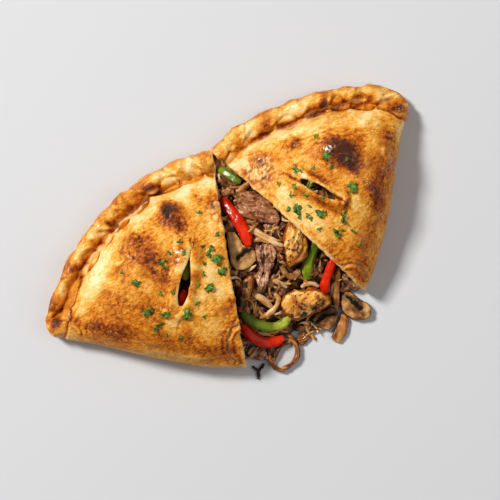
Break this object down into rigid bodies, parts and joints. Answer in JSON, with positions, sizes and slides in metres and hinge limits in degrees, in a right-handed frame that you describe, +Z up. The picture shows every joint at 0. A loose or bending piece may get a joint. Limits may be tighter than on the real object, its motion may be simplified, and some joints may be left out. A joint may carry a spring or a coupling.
{
  "type": "calzone",
  "caption": "Baked calzone cut across and opened like a fan: two puffed dough pockets with a crimped edge and vent slits, meat and vegetable filling spilling out between them.",
  "frame": {"origin": "under the middle of the whole spread, on the surface it rests on", "axes": "+X along the spread from the left half's tip to the right half's tip, +Y towards the crimped edge, so that the cut opens towards -Y, +Z up"},
  "size_m": [0.2978, 0.1702, 0.0475],
  "materials": {
    "crust": "baked dough, satin, brushed with oil",
    "filling": "chopped, browned filling, moist",
    "beef": "grilled meat, grained, moist",
    "chicken": "grilled meat, browned spots, moist",
    "charred_chicken": "darkly grilled meat, moist",
    "mushroom": "fried mushroom, moist",
    "red_pepper": "cooked pepper skin, glossy",
    "green_pepper": "cooked pepper skin, glossy",
    "onion": "browned onion, glossy, slightly clear",
    "burnt_scrap": "charred, dull"
  },
  "bodies": {
    "root": {"crust_left": "crust", "crust_right": "crust", "filling": "filling", "beef_1": "beef", "beef_2": "beef", "beef_3": "beef", "beef_4": "beef", "chicken_1": "chicken", "chicken_2": "chicken", "chicken_3": "charred_chicken", "mushroom_1": "mushroom", "mushroom_2": "mushroom", "mushroom_3": "mushroom", "mushroom_4": "mushroom", "red_pepper_1": "red_pepper", "red_pepper_2": "red_pepper", "red_pepper_3": "red_pepper", "red_pepper_4": "red_pepper", "green_pepper_1": "green_pepper", "green_pepper_2": "green_pepper", "green_pepper_3": "green_pepper", "green_pepper_4": "green_pepper", "onion_1": "onion", "onion_2": "onion", "onion_3": "onion", "onion_4": "onion", "onion_5": "onion", "onion_6": "onion", "onion_7": "onion", "onion_8": "onion", "onion_ring": "onion", "onion_petal": "onion", "onion_scrap": "onion", "burnt_scrap": "burnt_scrap"}
  },
  "joints": []
}
